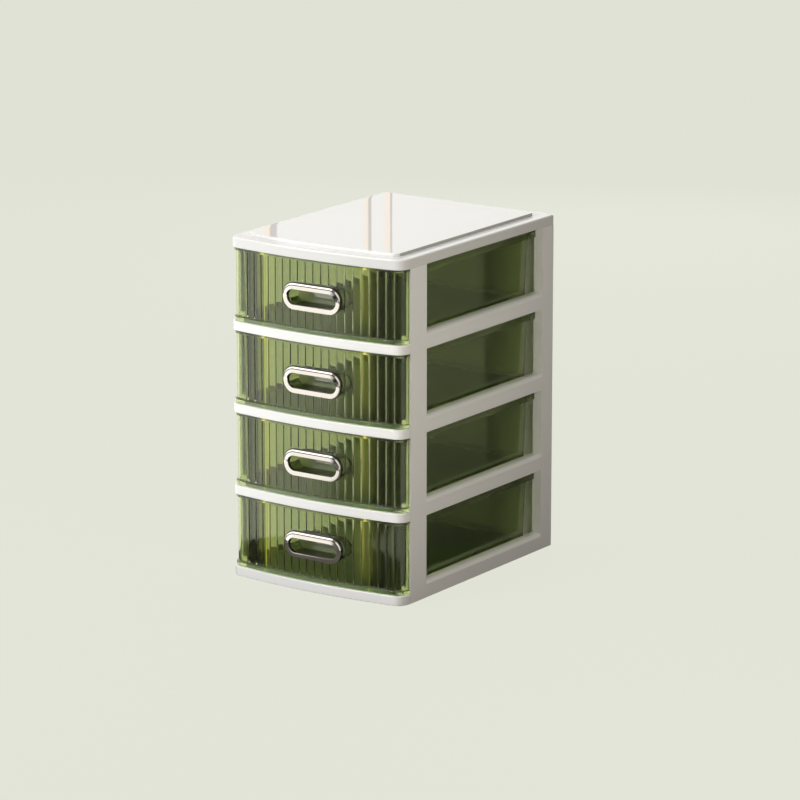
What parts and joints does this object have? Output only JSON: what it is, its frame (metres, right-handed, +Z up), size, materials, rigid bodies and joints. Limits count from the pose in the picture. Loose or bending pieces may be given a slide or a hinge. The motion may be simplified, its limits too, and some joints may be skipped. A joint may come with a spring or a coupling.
{
  "type": "desktop drawer organizer",
  "caption": "Desktop drawer organizer: a white frame of stacked tiers with clear green drawers that slide out, each with a bowed, fluted front and a bright finger-grip handle.",
  "frame": {"origin": "middle of the footprint on the surface it stands on, handles included", "axes": "+Z up, -Y towards the drawer fronts, +X to the right seen from the front"},
  "size_m": [0.25, 0.34, 0.42],
  "materials": {
    "white_plastic": "moulded, glossy",
    "clear_green": "transparent, polished",
    "bright_trim": "plated, mirror bright"
  },
  "bodies": {
    "frame": {"top_cover": "white_plastic", "shelf_1": "white_plastic", "shelf_2": "white_plastic", "shelf_3": "white_plastic", "shelf_4": "white_plastic", "left_side_1": "white_plastic", "left_side_2": "white_plastic", "left_side_3": "white_plastic", "left_side_4": "white_plastic", "right_side_1": "white_plastic", "right_side_2": "white_plastic", "right_side_3": "white_plastic", "right_side_4": "white_plastic", "back_panel_1": "white_plastic", "back_panel_2": "white_plastic", "back_panel_3": "white_plastic", "back_panel_4": "white_plastic"},
    "drawer_1": {"drawer_box_1": "clear_green", "drawer_front_1": "clear_green", "handle_1": "bright_trim"},
    "drawer_2": {"drawer_box_2": "clear_green", "drawer_front_2": "clear_green", "handle_2": "bright_trim"},
    "drawer_3": {"drawer_box_3": "clear_green", "drawer_front_3": "clear_green", "handle_3": "bright_trim"},
    "drawer_4": {"drawer_box_4": "clear_green", "drawer_front_4": "clear_green", "handle_4": "bright_trim"}
  },
  "joints": [
    {"name": "drawer_1_slide", "type": "slide", "parent": "frame", "child": "drawer_1", "axis": [0, -1, 0], "range_m": [0, 0.22]},
    {"name": "drawer_2_slide", "type": "slide", "parent": "frame", "child": "drawer_2", "axis": [0, -1, 0], "range_m": [0, 0.22]},
    {"name": "drawer_3_slide", "type": "slide", "parent": "frame", "child": "drawer_3", "axis": [0, -1, 0], "range_m": [0, 0.22]},
    {"name": "drawer_4_slide", "type": "slide", "parent": "frame", "child": "drawer_4", "axis": [0, -1, 0], "range_m": [0, 0.22]}
  ]
}
